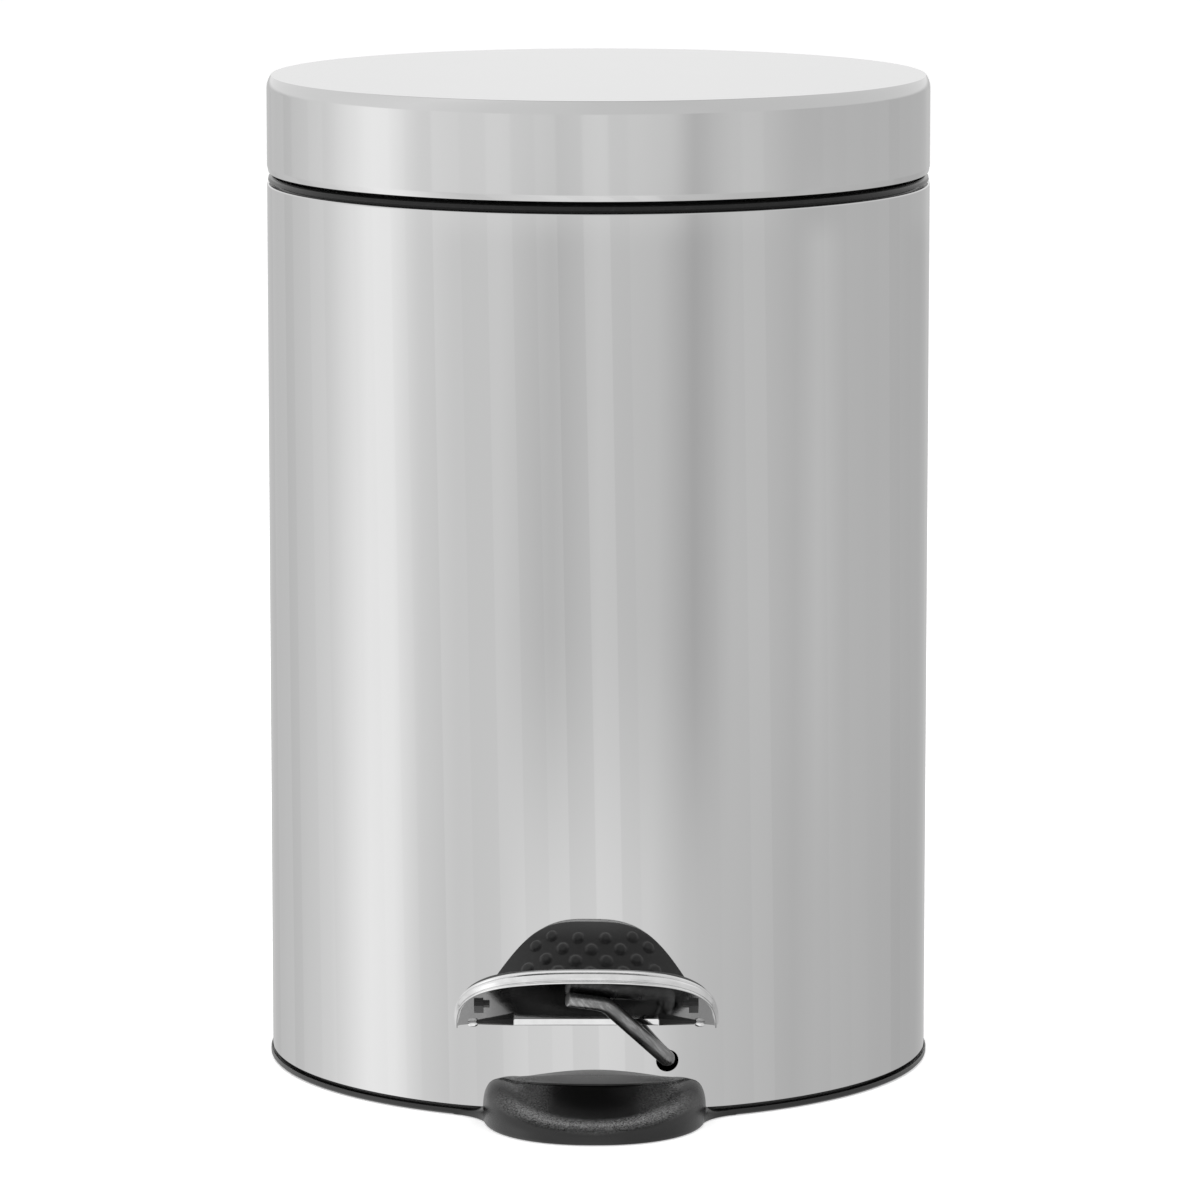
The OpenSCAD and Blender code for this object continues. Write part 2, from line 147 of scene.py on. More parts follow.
class Nodes:
    """Short calls for building one material's node tree."""

    def __init__(self, name):
        self.material = bpy.data.materials.new(name)
        self.material.use_nodes = True
        self.tree = self.material.node_tree
        self.shader = self.tree.nodes["Principled BSDF"]
        self.coords = self.tree.nodes.new("ShaderNodeTexCoord").outputs["Object"]

    def link(self, out, into):
        self.tree.links.new(out, into)

    def scaled(self, x, y, z):
        """Object coordinates, stretched by a factor along each axis."""
        mapping = self.tree.nodes.new("ShaderNodeMapping")
        mapping.inputs["Scale"].default_value = (x, y, z)
        self.link(self.coords, mapping.inputs["Vector"])
        return mapping.outputs["Vector"]

    def noise(self, vector, scale, detail=3.0, rough=0.5, distortion=0.0):
        made = self.tree.nodes.new("ShaderNodeTexNoise")
        made.inputs["Scale"].default_value = scale
        made.inputs["Detail"].default_value = detail
        made.inputs["Roughness"].default_value = rough
        made.inputs["Distortion"].default_value = distortion
        self.link(vector, made.inputs["Vector"])
        return made.outputs["Fac"]

    def ramp(self, fac, low, high, start=0.3, end=0.7):
        """fac from start to end becomes a value or a colour from low to high."""
        made = self.tree.nodes.new("ShaderNodeMapRange")
        made.inputs["From Min"].default_value = start
        made.inputs["From Max"].default_value = end
        if isinstance(low, tuple):
            made.data_type = "FLOAT_VECTOR"
            made.inputs[7].default_value = (start,) * 3
            made.inputs[8].default_value = (end,) * 3
            made.inputs[9].default_value = low
            made.inputs[10].default_value = high
            self.link(fac, made.inputs["Vector"])
            return made.outputs["Vector"]
        made.inputs["To Min"].default_value = low
        made.inputs["To Max"].default_value = high
        self.link(fac, made.inputs["Value"])
        return made.outputs["Result"]

    def maths(self, operation, *values):
        return maths(self.tree, operation, *values)

    def bump(self, *layers):
        """Adds bump layers, each (height, strength, distance in metres)."""
        normal = None
        for height, strength, distance in layers:
            made = self.tree.nodes.new("ShaderNodeBump")
            made.inputs["Strength"].default_value = strength
            made.inputs["Distance"].default_value = distance
            self.link(height, made.inputs["Height"])
            if normal is not None:
                self.link(normal, made.inputs["Normal"])
            normal = made.outputs["Normal"]
        self.link(normal, self.shader.inputs["Normal"])

    def set(self, **values):
        for key, value in values.items():
            self.shader.inputs[key.replace("_", " ")].default_value = value


def grey(level, warm=0.0):
    return (level * (1 + warm), level, level * (1 - warm))


def polished_steel():
    """Mirror-polished sheet: faint upright ripples bend the reflections, faint clouds dull them."""
    m = Nodes("polished_steel")
    m.set(Metallic=1.0)
    ripples = m.noise(m.scaled(1.0, 1.0, 0.10), 26.0, detail=2.0)
    wide_ripples = m.noise(m.scaled(1.0, 1.0, 0.22), 9.0, detail=1.0)
    clouds = m.noise(m.scaled(1.0, 1.0, 0.5), 14.0, detail=4.0)
    m.link(m.ramp(clouds, grey(0.612), grey(0.628)), m.shader.inputs["Base Color"])
    m.link(m.ramp(clouds, 0.012, 0.035), m.shader.inputs["Roughness"])
    m.bump((ripples, 0.05, 0.001), (wide_ripples, 0.12, 0.001))
    return m.material


def lid_steel():
    """The lid's polished sheet, flatter than the body's."""
    m = Nodes("lid_steel")
    m.set(Metallic=1.0)
    ripples = m.noise(m.scaled(1.0, 1.0, 0.25), 18.0, detail=1.5)
    clouds = m.noise(m.coords, 14.0, detail=4.0)
    m.link(m.ramp(clouds, grey(0.622), grey(0.640)), m.shader.inputs["Base Color"])
    m.link(m.ramp(clouds, 0.04, 0.07), m.shader.inputs["Roughness"])
    m.bump((ripples, 0.05, 0.001))
    return m.material


def pedal_chrome():
    """Chrome plate with faint cloudy marks and pits. Its underside is duller, with painted dark reflection
    and shade darkening its middle.
    """
    m = Nodes("pedal_chrome")
    m.set(Metallic=1.0)
    cloud = m.noise(m.coords, 180.0, detail=4.0)
    pits = m.noise(m.coords, 2600.0, detail=2.0)
    facing = m.tree.nodes.new("ShaderNodeVectorMath")
    facing.operation = "DOT_PRODUCT"
    facing.inputs[1].default_value = (0.0, -math.sin(PEDAL_TILT), -math.cos(PEDAL_TILT))
    m.link(m.tree.nodes.new("ShaderNodeTexCoord").outputs["Normal"], facing.inputs[0])
    under = m.ramp(facing.outputs["Value"], 0.0, 1.0, 0.93, 0.97)
    colour = m.tree.nodes.new("ShaderNodeMix")
    colour.data_type = "RGBA"
    m.link(under, colour.inputs["Factor"])
    m.link(m.ramp(cloud, grey(0.74), grey(0.86)), colour.inputs["A"])
    x = split_axes(m.tree, m.coords)[0]
    off_middle = m.maths("ABSOLUTE", m.maths("SUBTRACT", x, PEDAL[0] * MM))
    # painted dark reflection and shade: the underside's colour darkens towards its middle, standing in for
    # the mirrored dark foot and the shaded wire
    painted_dark_reflection = m.ramp(off_middle, 0.12, 1.0, 0.019, 0.025)
    dull = m.maths("MULTIPLY", painted_dark_reflection, m.ramp(pits, 0.30, 0.42, 0.35, 0.65))
    m.link(dull, colour.inputs["B"])
    m.link(colour.outputs["Result"], m.shader.inputs["Base Color"])
    m.link(m.ramp(cloud, 0.05, 0.12), m.shader.inputs["Roughness"])
    m.bump((cloud, 0.03, 0.0005), (pits, 0.08, 0.0001))
    return m.material


def plain_steel(name="plain_steel", level=0.45, low=0.28, high=0.42):
    """Zinc-plated steel with a fine mottled grain."""
    m = Nodes(name)
    m.set(Metallic=1.0)
    grain = m.noise(m.coords, 900.0, detail=4.0)
    cloud = m.noise(m.coords, 120.0, detail=3.0)
    m.link(m.ramp(cloud, grey(level * 0.86), grey(level * 1.1)), m.shader.inputs["Base Color"])
    m.link(m.ramp(grain, low, high), m.shader.inputs["Roughness"])
    m.bump((grain, 0.12, 0.0001))
    return m.material


def lever_wire():
    """Dark drawn wire with lighter rubbed streaks and drawing lines along it."""
    m = Nodes("lever_wire")
    m.set(Metallic=1.0)
    along = m.tree.nodes.new("ShaderNodeMapping")
    along.vector_type = "TEXTURE"
    along.inputs["Rotation"].default_value = (0.0, math.radians(41.8), math.radians(45.9))
    along.inputs["Scale"].default_value = (9.0, 1.0, 1.0)
    m.link(m.coords, along.inputs["Vector"])
    streaks = m.noise(along.outputs[0], 1500.0, detail=4.0, rough=0.65)
    patches = m.noise(m.coords, 220.0, detail=3.0)
    grit = m.noise(m.coords, 3200.0, detail=2.0)
    m.link(m.ramp(streaks, grey(0.24), grey(0.55), 0.45, 0.75), m.shader.inputs["Base Color"])
    m.link(m.ramp(patches, 0.24, 0.40), m.shader.inputs["Roughness"])
    m.bump((streaks, 0.12, 0.0001), (grit, 0.10, 0.0001))
    return m.material


def black_plastic(name, level=0.007, low=0.42, high=0.58, grain_depth=0.25, grain_scale=1500.0, shine=0.5):
    """Moulded black plastic with a fine spark-eroded grain and faint dust."""
    m = Nodes(name)
    grain = m.noise(m.coords, grain_scale, detail=3.0, rough=0.6)
    cloud = m.noise(m.coords, 60.0, detail=3.0)
    dust = m.noise(m.coords, 900.0, detail=1.0)
    colour = m.ramp(dust, grey(level), grey(level * 2.2), 0.55, 0.85)
    m.link(colour, m.shader.inputs["Base Color"])
    m.link(m.ramp(cloud, low, high), m.shader.inputs["Roughness"])
    m.set(Specular_IOR_Level=shine)
    m.bump((grain, grain_depth, 0.0001))
    return m.material


FOOT_LEVEL = 0.003


def foot_plastic():
    """The base's black plastic: grained, with a painted highlight of lighter speckled colour along the
    foot's lip and on the scoop's sides.
    """
    m = Nodes("black_foot")
    grain = m.noise(m.coords, 2600.0, detail=3.0, rough=0.6)
    specks = m.noise(m.coords, 2200.0, detail=3.0, rough=0.7)
    cloud = m.noise(m.coords, 60.0, detail=3.0)
    oval = m.tree.nodes.new("ShaderNodeMapping")
    oval.inputs["Location"].default_value = (-FOOT_X / FOOT_HALF_W, -FOOT_BACK / FOOT_LEN, 0.0)
    oval.inputs["Scale"].default_value = (1 / FOOT_HALF_W / MM, 1 / FOOT_LEN / MM, 0.0)
    m.link(m.coords, oval.inputs["Vector"])
    length = m.tree.nodes.new("ShaderNodeVectorMath")
    length.operation = "LENGTH"
    m.link(oval.outputs[0], length.inputs[0])
    out = length.outputs["Value"]
    x, y, _ = split_axes(m.tree, oval.outputs[0])
    ahead = m.ramp(y, 0.0, 1.0, -0.25, -0.62)
    lip = m.maths("MULTIPLY", m.ramp(out, 0.0, 1.0, 0.72, 0.84), m.ramp(out, 1.0, 0.0, 0.90, 1.0))
    to_sides = m.ramp(m.maths("ABSOLUTE", x), 0.0, 0.6, 0.35, 0.75)
    scoop = m.maths("MULTIPLY", to_sides, m.ramp(out, 1.0, 0.0, 0.74, 0.84))
    # painted highlight: lighter speckled colour on the lip and the scoop's sides stands in for the sheen
    # they catch
    highlight_zone = m.maths("MAXIMUM", m.maths("MULTIPLY", lip, ahead), scoop)
    painted_highlight = m.maths("MULTIPLY", highlight_zone, m.ramp(specks, 0.03, 0.42, 0.38, 0.66))
    m.link(m.maths("ADD", painted_highlight, FOOT_LEVEL), m.shader.inputs["Base Color"])
    m.link(m.ramp(cloud, 0.22, 0.30), m.shader.inputs["Roughness"])
    m.set(Specular_IOR_Level=0.55)
    m.bump((grain, 0.45, 0.0001))
    return m.material


STEEL = polished_steel()
LID_STEEL = lid_steel()
CHROME = pedal_chrome()
ZINC = plain_steel()
WIRE = lever_wire()
FOOT = foot_plastic()
MOULDED = black_plastic(
    "black_moulded", level=0.003, low=0.22, high=0.30, grain_depth=0.45, grain_scale=2600.0, shine=0.6)
GLOSSY = black_plastic("black_collar", level=0.005, low=0.16, high=0.24, grain_depth=0.05, shine=0.3)
RUBBER = black_plastic(
    "pad_rubber", level=0.008, low=0.32, high=0.42, grain_depth=0.15, grain_scale=2200.0, shine=0.75)
BUCKET = black_plastic("bucket_plastic", level=0.018, low=0.35, high=0.5, grain_depth=0.12)

# ---------------------------------------------------------------- mesh tools


def arc_corner(before, corner, after, radius, steps):
    """Points of the fillet of that radius at corner, from the side of before to the side of after."""
    into = (Vector(before) - Vector(corner)).normalized()
    out = (Vector(after) - Vector(corner)).normalized()
    half = into.angle(out) / 2
    reach = radius / math.tan(half)
    centre = Vector(corner) + (into + out).normalized() * (radius / math.sin(half))
    start = Vector(corner) + into * reach - centre
    end = Vector(corner) + out * reach - centre
    points = []
    for i in range(steps + 1):
        turn = start.angle(end)
        weight_a = math.sin((1 - i / steps) * turn) / math.sin(turn)
        weight_b = math.sin(i / steps * turn) / math.sin(turn)
        part = start * weight_a + end * weight_b
        points.append(tuple(centre + part))
    return points


def rounded(corners, steps=6, closed=True):
    """An outline from (a, b, fillet radius) corners. A radius of 0 keeps the corner sharp."""
    points = []
    for i, (a, b, radius) in enumerate(corners):
        inside = closed or 0 < i < len(corners) - 1
        if radius and inside:
            before = corners[i - 1][:2]
            after = corners[(i + 1) % len(corners)][:2]
            points += arc_corner(before, (a, b), after, radius, steps)
        else:
            points.append((a, b))
    return points


def lathe(profile, segments=240):
    """Vertices and faces of a closed (r, z) outline turned round the Z axis."""
    count = len(profile)
    verts, faces = [], []
    for i in range(segments):
        angle = 2 * math.pi * i / segments
        for r, z in profile:
            verts.append((r * math.sin(angle), -r * math.cos(angle), z))
    for i in range(segments):
        a, b = i * count, (i + 1) % segments * count
        for j in range(count):
            k = (j + 1) % count
            if profile[j][0] == 0 and profile[k][0] == 0:
                continue
            faces.append((a + j, a + k, b + k, b + j))
    return verts, faces


def tube(path, radius, sides=24, cap_round=0.35):
    """A round tube along path, with rounded ends."""
    points = [Vector(p) for p in path]
    first = (points[1] - points[0]).normalized()
    last = (points[-1] - points[-2]).normalized()
    rings = [(points[0], radius - cap_round)]
    rings += [(points[0] + first * cap_round * 0.3, radius - cap_round * 0.3)]
    rings += [(points[0] + first * cap_round, radius)]
    rings += [(p, radius) for p in points[1:-1]]
    rings += [(points[-1] - last * cap_round, radius)]
    rings += [(points[-1] - last * cap_round * 0.3, radius - cap_round * 0.3)]
    rings += [(points[-1], radius - cap_round)]
    verts, faces = [], []
    side = first.orthogonal().normalized()
    for i, (p, r) in enumerate(rings):
        ahead = rings[min(i + 1, len(rings) - 1)][0] - rings[max(i - 1, 0)][0]
        ahead.normalize()
        side = (side - ahead * side.dot(ahead)).normalized()
        up = ahead.cross(side)
        for k in range(sides):
            angle = 2 * math.pi * k / sides
            verts.append(tuple(p + side * (r * math.cos(angle)) + up * (r * math.sin(angle))))
    for i in range(len(rings) - 1):
        for k in range(sides):
            n = (k + 1) % sides
            faces.append((i * sides + k, i * sides + n, (i + 1) * sides + n, (i + 1) * sides + k))
    faces.append(tuple(reversed(range(sides))))
    faces.append(tuple((len(rings) - 1) * sides + k for k in range(sides)))
    return verts, faces


def joined(*shapes):
    """Several (verts, faces) shapes as one."""
    verts, faces = [], []
    for more_verts, more_faces in shapes:
        start = len(verts)
        verts += list(more_verts)
        faces += [tuple(start + i for i in face) for face in more_faces]
    return verts, faces


def smooth(mesh, angle=38.0):
    mesh.shade_smooth()
    mesh.set_sharp_from_angle(angle=math.radians(angle))


def piece(name, shape, material, body, replaced, angle=38.0):
    """A finished piece from a (verts, faces) shape in millimetres."""
    mesh = bpy.data.meshes.new(name)
    verts, faces = shape
    mesh.from_pydata([[c * MM for c in v] for v in verts], [], faces)
    work = bmesh.new()
    work.from_mesh(mesh)
    bmesh.ops.remove_doubles(work, verts=work.verts, dist=1e-7)
    bmesh.ops.dissolve_degenerate(work, edges=work.edges, dist=1e-8)
    bmesh.ops.recalc_face_normals(work, faces=work.faces)
    work.to_mesh(mesh)
    work.free()
    made = bpy.data.objects.new(name, mesh)
    scene.collection.objects.link(made)
    mesh.materials.append(material)
    smooth(mesh, angle)
    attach(made, body)
    if replaced:
        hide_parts(*replaced)
    return made


def cut(target, shape, angle=38.0):
    """Cuts a closed (verts, faces) shape, in millimetres, out of a piece."""
    mesh = bpy.data.meshes.new("cutter")
    mesh.from_pydata([[c * MM for c in v] for v in shape[0]], [], shape[1])
    work = bmesh.new()
    work.from_mesh(mesh)
    bmesh.ops.recalc_face_normals(work, faces=work.faces)
    work.to_mesh(mesh)
    work.free()
    cutter = bpy.data.objects.new("cutter", mesh)
    scene.collection.objects.link(cutter)
    modifier = target.modifiers.new("cut", "BOOLEAN")
    modifier.operation = "DIFFERENCE"
    modifier.solver = "EXACT"
    modifier.object = cutter
    apply_modifiers(target)
    bpy.data.objects.remove(cutter)
    bpy.data.meshes.remove(mesh)
    smooth(target.data, angle)


def apply_modifiers(target):
    """Replaces the mesh by its modified self."""
    graph = bpy.context.evaluated_depsgraph_get()
    made = bpy.data.meshes.new_from_object(target.evaluated_get(graph))
    old = target.data
    target.modifiers.clear()
    target.data = made
    made.name = target.name
    bpy.data.meshes.remove(old)


def flat_normals(target):
    """Keeps large flat faces flat up to the small fillets beside them."""
    modifier = target.modifiers.new("flat_normals", "WEIGHTED_NORMAL")
    modifier.mode = "FACE_AREA"
    modifier.weight = 80
    modifier.keep_sharp = True


def radial_normals(target, radius, tolerance=0.03):
    """Gives the round wall of that radius (mm) the normals of a true cylinder, and flat ends their own."""
    mesh = target.data
    normals = [Vector(n.vector) for n in mesh.corner_normals]
    for face in mesh.polygons:
        for loop in face.loop_indices:
            v = mesh.vertices[mesh.loops[loop].vertex_index].co
            r = math.hypot(v.x, v.y)
            out = Vector((v.x, v.y, 0)) / max(r, 1e-9)
            if abs(face.normal.z) > 0.9999:
                normals[loop] = Vector((0, 0, math.copysign(1, face.normal.z)))
                continue
            upright = face.normal.dot(out) > 0.97 and abs(face.normal.z) < 0.05
            if abs(r / MM - radius) < tolerance and upright:
                normals[loop] = out
    mesh.normals_split_custom_set(normals)


# ---------------------------------------------------------------- body and lid


def cylinder_along_y(x, z, radius, y0, y1, sides=64):
    """A closed cylinder from y0 to y1."""
    verts = []
    for y in (y0, y1):
        for k in range(sides):
            angle = 2 * math.pi * k / sides
            verts.append((x + radius * math.cos(angle), y, z + radius * math.sin(angle)))
    faces = [tuple(range(sides)), tuple(reversed(range(sides, 2 * sides)))]
    faces += [(k, (k + 1) % sides, sides + (k + 1) % sides, sides + k) for k in range(sides)]
    return verts, faces


def box_shape(low, high):
    """A closed box between two corners."""
    verts = [(x, y, z) for x in (low[0], high[0]) for y in (low[1], high[1]) for z in (low[2], high[2])]
    faces = [(0, 1, 3, 2), (4, 6, 7, 5), (0, 4, 5, 1), (2, 3, 7, 6), (0, 2, 6, 4), (1, 5, 7, 3)]
    return verts, faces


def make_body():
    """The steel tube, with a rolled top edge, a rounded bottom edge and the lever's hole."""
    inner = BODY_R - STEEL_T
    profile = rounded([
        (BODY_R, BODY_BOTTOM, 0.25), (BODY_R, BODY_TOP, 0.4), (inner - 1.6, BODY_TOP, 0.15),
        (inner - 1.6, BODY_TOP - STEEL_T, 0.15), (inner, BODY_TOP - STEEL_T, 0), (inner, BODY_BOTTOM, 0.2),
    ])
    made = piece("body_tube", lathe(profile, 360), STEEL, "housing", ["outer_shell"])
    cut(made, cylinder_along_y(HOLE_X, HOLE_Z, HOLE_R, -BODY_R - 5, -BODY_R + 10))
    radial_normals(made, BODY_R)
    return made


def make_lid():
    """The steel lid: flat top, a softly curved shoulder, and a lower edge that rolls slightly inwards."""
    inner = BODY_R - STEEL_T
    steepest = math.radians(36)
    shoulder = []
    for k in range(13):
        turn = steepest * (1 - k / 12)
        part = (math.cos(turn) - math.cos(steepest)) / (1 - math.cos(steepest))
        r = BODY_R - LID_EDGE_IN * (1 - part)
        z = LID_TOP - LID_EDGE_DOWN + LID_EDGE_DOWN * math.sin(turn) / math.sin(steepest)
        shoulder.append((r, z, 0.1 if k == 0 else 0))
    profile = rounded([
        (0, LID_TOP, 0), *shoulder, (BODY_R, LID_BOTTOM + 1.6, 1.2),
        (BODY_R - 0.35, LID_BOTTOM, 0.3), (inner - 0.8, LID_BOTTOM, 0.25),
        (inner - 0.8, LID_BOTTOM + STEEL_T, 0.1), (inner, LID_BOTTOM + STEEL_T, 0),
        (inner, LID_TOP - STEEL_T - LID_EDGE_DOWN, 0), (inner - LID_EDGE_IN, LID_TOP - STEEL_T, 0.3),
        (0, LID_TOP - STEEL_T, 0),
    ], steps=8)
    made = piece("lid_cap", lathe(profile, 360), LID_STEEL, "lid", ["lid_shell"])
    notch = 9.5
    cut(made, box_shape((-notch, 70, LID_BOTTOM - 1), (notch, 95, LID_BOTTOM + 7.7)))
    radial_normals(made, BODY_R)
    return made


def make_collar():
    """The black ring between body and lid, set back a little, with a shadow groove under its band."""
    z0, z1 = BODY_TOP, COLLAR_TOP
    profile = rounded([
        (75.2, z1, 0.3), (75.2, z0 + 0.4, 0.2), (81.3, z0 + 0.4, 0.2), (81.3, 216.2, 0.2),
        (82.4, 216.2, 0.2), (82.4, z0 + 0.02, 0.1), (82.9, z0 + 0.02, 0.05), (82.9, z0 + 0.7, 0.05),
        (84.75, z0 + 0.75, 0.1), (84.6, z1 - 0.5, 0.25), (83.9, z1, 0.15),
    ], steps=4)
    made = piece("collar_ring", lathe(profile, 360), GLOSSY, "housing", ["collar"])
    cut(made, box_shape((-9, 50, 210), (9, 83.4, 235)))
    return made


# ---------------------------------------------------------------- base ring and foot


def oval_radius(phi, a, b, n):
    """Distance from the middle of an oval to its edge, phi from straight ahead."""
    return (abs(math.sin(phi) / a) ** n + abs(math.cos(phi) / b) ** n) ** (-1 / n)


def wall_distance(phi):
    """How far the body's wall is from the foot's middle along phi."""
    gap = BODY_R + 0.05
    dx, dy = math.sin(phi), -math.cos(phi)
    along = FOOT_X * dx + FOOT_BACK * dy
    rest = FOOT_X**2 + FOOT_BACK**2 - gap**2
    return -along + math.sqrt(along**2 - rest)


def blend_step(value, low, high):
    """A soft step from 0 to 1 as value goes from low to high."""
    part = min(max((value - low) / (high - low), 0.0), 1.0)
    return part * part * (3 - 2 * part)


def crown_height(x):
    """Height of the foot's flat crown beside the body, which falls off to both sides."""
    return FOOT_H - 1.45 * ((x - FOOT_X) / FOOT_CROWN_HALF) ** 2


def crease_distance(phi, near, edge):
    """How far from the foot's middle the crown ends and the scoop begins along phi."""
    low, high = near, edge
    for _ in range(30):
        r = (low + high) / 2
        x = FOOT_X + r * math.sin(phi)
        off = abs(x - FOOT_X) / FOOT_CROWN_HALF
        wall_y = -math.sqrt(max(BODY_R**2 - x**2, 0.0))
        crease_y = wall_y - FOOT_CROWN_D * (1 - off**2)
        if FOOT_BACK - r * math.cos(phi) > crease_y:
            low = r
        else:
            high = r
    return min(low, edge)


def foot_lip(phi, edge):
    """Where the foot's lip lies along phi, how high it is, and how wide its roll to the side is."""
    side = abs(math.sin(phi))
    roll = 5.2 - 0.6 * side**2
    return edge - roll, FOOT_LIP_H + 5.4 * side**3.2, roll


def foot_height(phi, r, near, crease, edge, drop):
    """Height of the foot's top: flat crown, a drop at its crease, scoop, lip, and the roll to its side."""
    lip, lip_z, roll = foot_lip(phi, edge)
    crown = crown_height(FOOT_X + r * math.sin(phi))
    crown -= FOOT_SAG * min(max((r - near) / FOOT_CROWN_D, 0.0), 1.0) ** 2
    top = crown
    if crease < lip and r > crease:
        part = min((r - crease) / (lip - crease), 1.0)
        top = lip_z + max(crown - drop - lip_z, 0.0) * (1 - part) ** 2.1
    elif crease >= lip:
        top = min(crown, lip_z + 10.0 * max(lip - r, 0.0) ** 2)
    if r > lip:
        part = (r - lip) / roll
        power = 2.3 + 0.4 * math.sin(phi) ** 2
        start = min(top, lip_z) if crease < lip else min(crown, lip_z)
        top = FOOT_LOW + (start - FOOT_LOW) * (1 - min(part, 1.0) ** power) ** (1 / power)
    return top


# The undercut seam along the crease, as steps outwards and downwards
SEAM = [
    (-0.16, 0.0), (-0.05, -0.02), (0.0, -0.10), (-0.10, -0.17), (-0.42, -0.24), (-0.42, -0.44),
    (-0.12, -0.52),
]


def foot_profile(phi):
    """The foot's outline along phi from the wall to its lower edge, as distances and heights."""
    near = wall_distance(phi)
    edge = max(oval_radius(phi, FOOT_HALF_W, FOOT_LEN, FOOT_OVAL), near + 0.3)
    crease = crease_distance(phi, near, edge)
    lip = foot_lip(phi, edge)[0]
    depth = min(max((lip - crease - 0.2) / 1.2, 0.0), 1.0) * min(max((crease - near - 0.5) / 0.5, 0.0), 1.0)
    drop = 0.52 * depth
    points = []
    inner_end = max(crease - 0.5, near)
    for j in range(14):
        r = near + (inner_end - near) * j / 14
        points.append((r, foot_height(phi, r, near, crease, edge, drop)))
    crown = foot_height(phi, crease, near, crease, edge, drop)
    for k, (out, down) in enumerate(SEAM):
        plain = inner_end + 0.07 * (k + 1)
        height = foot_height(phi, min(plain, edge), near, crease, edge, drop)
        r = plain + (crease + out - plain) * depth
        points.append((r, height + (crown + down - height) * depth))
    start, rows = inner_end + 0.56, 90
    for j in range(rows + 1):
        r = start + (edge - start) * (1 - (1 - j / rows) ** 2.0)
        points.append((r, foot_height(phi, min(r, edge), near, crease, edge, drop)))
    points += [(edge, z) for z in (1.6, 1.4, 1.0, 0.5)] + [(edge - 0.3, 0.05)]
    return points + [(near, 0.05)]


def foot_limit(side):
    """How far round to a side the foot goes, which is just short of where its outline meets the wall."""
    wall_y = -math.sqrt(BODY_R**2 - (FOOT_X + side * FOOT_HALF_W) ** 2)
    return side * (math.pi / 2 + math.asin((wall_y - FOOT_BACK) / FOOT_HALF_W) - math.radians(1.2))


def foot_shape():
    """The foot as a closed solid with a modelled top and a flat underside."""
    columns, first, last = 280, foot_limit(-1), foot_limit(1)
    verts, faces = [], []
    for i in range(columns + 1):
        phi = first + (last - first) * i / columns
        for r, z in foot_profile(phi):
            verts.append((FOOT_X + r * math.sin(phi), FOOT_BACK - r * math.cos(phi), z))
    per = len(verts) // (columns + 1)
    for i in range(columns):
        a, b = i * per, (i + 1) * per
        for j in range(per):
            k = (j + 1) % per
            faces.append((a + j, a + k, b + k, b + j))
    faces.append(tuple(range(per)))
    faces.append(tuple(columns * per + j for j in reversed(range(per))))
    return verts, faces


def beside_foot(x, y):
    """How far a point beside the foot is from the foot's side."""
    along = min(abs(y - FOOT_BACK) / FOOT_LEN, 1.0)
    return abs(x - FOOT_X) - FOOT_HALF_W * (1 - along**FOOT_OVAL) ** (1 / FOOT_OVAL)


def flare_shape(side):
    """The corner between the ring and the foot's side, filled in a wide curve that rises onto the foot."""
    cx = FOOT_X + side * (FOOT_HALF_W - FLARE_INSET + FLARE_R)
    cy = -math.sqrt((RING_R + FLARE_R) ** 2 - cx**2)
    wall = BODY_R + 0.05
    first = math.pi - math.atan2(-cy, side * cx)
    steps, rows = 40, 14
    verts, faces = [], []
    for i in range(steps + 1):
        angle = first + (FLARE_END - first) * i / steps
        dx, dy = side * math.cos(angle), math.sin(angle)
        ax, ay = cx + FLARE_R * dx, cy + FLARE_R * dy
        reach = 6.0
        along = ax * dx + ay * dy
        inside = along**2 - ax**2 - ay**2 + wall**2
        if inside > 0 and -along - math.sqrt(inside) > 0:
            reach = min(reach, -along - math.sqrt(inside))

        def top(t):
            gap = max(beside_foot(ax + dx * t, ay + dy * t), 0.0)
            return FLARE_H - 0.1 + FLARE_RISE * max(1 - gap / 4.0, 0.0) ** 2

        rim = min(0.3, reach * 0.5)
        edge = top(0.0)
        section = [(rim, 0.0), (rim * 0.3, 0.09), (0.0, 0.3)]
        section += [(0.0, edge - rim), (rim * 0.3, edge - rim * 0.3)]
        for k in range(rows + 1):
            t = rim + (reach - rim) * k / rows
            section.append((t, top(t)))
        section.append((reach, 0.0))
        verts += [(ax + dx * t, ay + dy * t, z) for t, z in section]
    per = len(verts) // (steps + 1)
    for i in range(steps):
        a, b = i * per, (i + 1) * per
        for k in range(per):
            m = (k + 1) % per
            face = (a + k, a + m, b + m, b + k)
            faces.append(face if side > 0 else tuple(reversed(face)))
    ends = [tuple(range(per)), tuple(steps * per + k for k in reversed(range(per)))]
    faces += [tuple(reversed(end)) if side > 0 else end for end in ends]
    return verts, faces


def base_shape():
    """The base ring: its floor, its inner wall notched for the lever, and the groove under the body."""
    inner = BODY_R - STEEL_T - 0.1
    profile = rounded([
        (0, 0.0, 0), (RING_R - 0.5, 0.0, 0.3), (RING_R, 0.5, 0.2), (RING_R, FLARE_H - 0.1, 0.15),
        (RING_R - 0.35, FLARE_H, 0.1), (RING_R - 0.45, 0.75, 0.05), (84.0, 0.75, 0.05),
        (84.0, BODY_BOTTOM, 0), (inner, BODY_BOTTOM, 0), (inner, 13.5, 0.2), (82.6, 14.0, 0.2),
        (82.2, 14.0, 0.1), (82.2, 2.5, 0.4), (0, 2.5, 0),
    ], steps=4)
    verts, faces = lathe(profile, 720)
    notched = []
    for x, y, z in verts:
        beside_lever = abs(x - HOLE_X) < NOTCH_HALF_W and y < 0
        notched.append((x, y, min(z, NOTCH_Z) if beside_lever else z))
    return notched, faces


